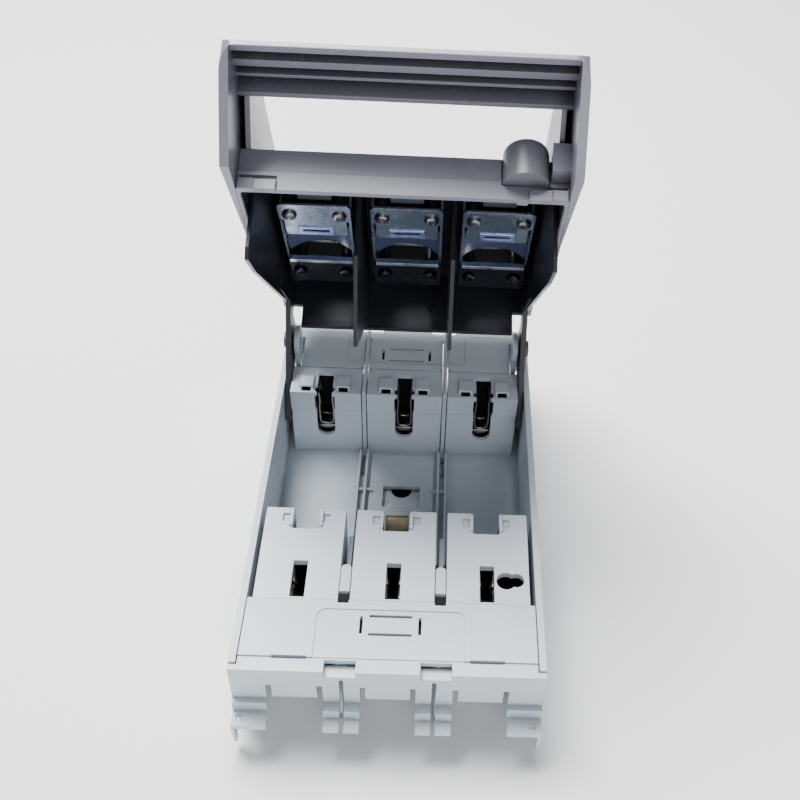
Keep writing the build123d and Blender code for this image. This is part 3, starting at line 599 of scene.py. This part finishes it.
def carrier_screws():
    """Four screws in each carrier, all in one piece."""
    parts = []
    turn = 0.5
    for pole in POLES:
        for dx, y in SCREW_SPOTS:
            turn += SCREW_TURN
            x, c, s = pole + dx, cos(turn), sin(turn)
            moved = [
                (x + a * c - b * s, y + a * s + b * c, HEAD_BASE - h)
                for a, b, h in HEAD_VERTS
            ]
            parts.append((moved, HEAD_FACES))
            parts.append(turned(
                [(0, 0), (SHANK_RADIUS, 0), (SHANK_RADIUS, SHANK_LENGTH), (0, SHANK_LENGTH)], 20,
                lambda a, b, h: (x + a, y + b, HEAD_BASE + h),
            ))
    thing = piece(
        "carrier_screw_heads", *join(parts),
        "pan_screw", "pan_screw_steel", "lid", lid_point, smooth=False,
    )
    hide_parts("carrier_screws")


carrier_screws()

# ---- the pressed field round each carrier's slot, in a lighter steel that is a painted highlight ----
def pressed_field(pole):
    """A raised rounded frame round the slot, pressed out of the upper plate."""
    outer, inner = (6.6, 2.6), (4.9, 1.1)
    middle_y, top, foot = -3.6, 61.55, 62.02
    parts = []
    for x, y in (
        ((-outer[0], outer[0]), (-outer[1], -inner[1])),
        ((-outer[0], outer[0]), (inner[1], outer[1])),
        ((-outer[0], -inner[0]), (-inner[1], inner[1])),
        ((inner[0], outer[0]), (-inner[1], inner[1])),
    ):
        parts.append(cuboid([pole + v for v in x], [middle_y + v for v in y], (top, foot)))
    return parts


FIELDS = [part for pole in POLES for part in pressed_field(pole)]
piece(
    "carrier_pressed_fields", *join(FIELDS),
    "emboss", "carrier_steel", "lid", lid_point, smooth=False, bevel=0.15,
)

# =====================================================================
# Floor, light and camera
# =====================================================================
FLOOR_HALF, FLOOR_DROP = 4.0, -0.0004     # metres; the floor is just under the base
SKY_COLOUR, SKY_STRENGTH = (0.93, 0.96, 1.0, 1), 0.34
# the fitted camera: metres, degrees and millimetres
EYE = (0.0102, -0.2720, 0.3477)
PITCH, YAW, ROLL = 44.40, 2.11, -3.56
SENSOR, FOCAL, SHIFT_X = 36.0, 47.23, -0.0701


def studio():
    """Plain pale floor and a soft even sky."""
    floor_mesh = bpy.data.meshes.new("studio_floor")
    half = FLOOR_HALF
    corners = [(-half, -half, 0), (half, -half, 0), (half, half, 0), (-half, half, 0)]
    floor_mesh.from_pydata(corners, [], [(0, 1, 2, 3)])
    floor = bpy.data.objects.new("studio_floor", floor_mesh)
    bpy.context.scene.collection.objects.link(floor)
    s = Shader("studio_floor")
    s.link(s.mix(s.noise(3.0), (0.93, 0.93, 0.93), (0.95, 0.95, 0.95)), s.bsdf.inputs["Base Color"])
    s.bsdf.inputs["Roughness"].default_value = 0.8
    floor_mesh.materials.append(s.material)
    floor.location.z = FLOOR_DROP
    world = bpy.data.worlds.new("studio")
    world.use_nodes = True
    sky = world.node_tree.nodes["Background"].inputs
    sky[0].default_value = SKY_COLOUR
    sky[1].default_value = SKY_STRENGTH
    bpy.context.scene.world = world


def softbox(name, place, target, size, power, colour=(1, 1, 1)):
    """A rectangular area light at one place, turned to its target."""
    light = bpy.data.lights.new(name, "AREA")
    light.shape = "RECTANGLE"
    light.size, light.size_y = size
    light.energy = power
    light.color = colour
    lamp = bpy.data.objects.new(name, light)
    lamp.location = place
    lamp.rotation_euler = (Vector(target) - Vector(place)).to_track_quat("-Z", "Y").to_euler()
    bpy.context.scene.collection.objects.link(lamp)


def camera():
    """Set up the one camera that looks down at the open switch from its near end."""
    pitch, yaw, roll = radians(PITCH), radians(YAW), radians(ROLL)
    ahead = Vector((sin(yaw) * cos(pitch), cos(yaw) * cos(pitch), -sin(pitch)))
    right = Vector((cos(yaw), -sin(yaw), 0))
    down = ahead.cross(right)
    c, s = cos(roll), sin(roll)
    turned_right = c * right + s * down
    turned_down = -s * right + c * down
    lens = bpy.data.cameras.new("camera")
    lens.sensor_width = SENSOR
    lens.lens = FOCAL
    lens.shift_x = SHIFT_X
    lens.clip_start = 0.01
    eye = bpy.data.objects.new("camera", lens)
    axes = Matrix((turned_right, -turned_down, -ahead)).transposed()
    eye.matrix_world = Matrix.Translation(EYE) @ axes.to_4x4()
    bpy.context.scene.collection.objects.link(eye)
    bpy.context.scene.camera = eye


studio()
softbox("key", (-0.25, 0.40, 1.15), (0, -0.03, 0.04), (0.8, 0.6), 44.0)
softbox("fill", (0.25, -1.2, 0.75), (0, 0, 0.08), (0.7, 0.7), 6.0, (0.95, 0.97, 1.0))
camera()
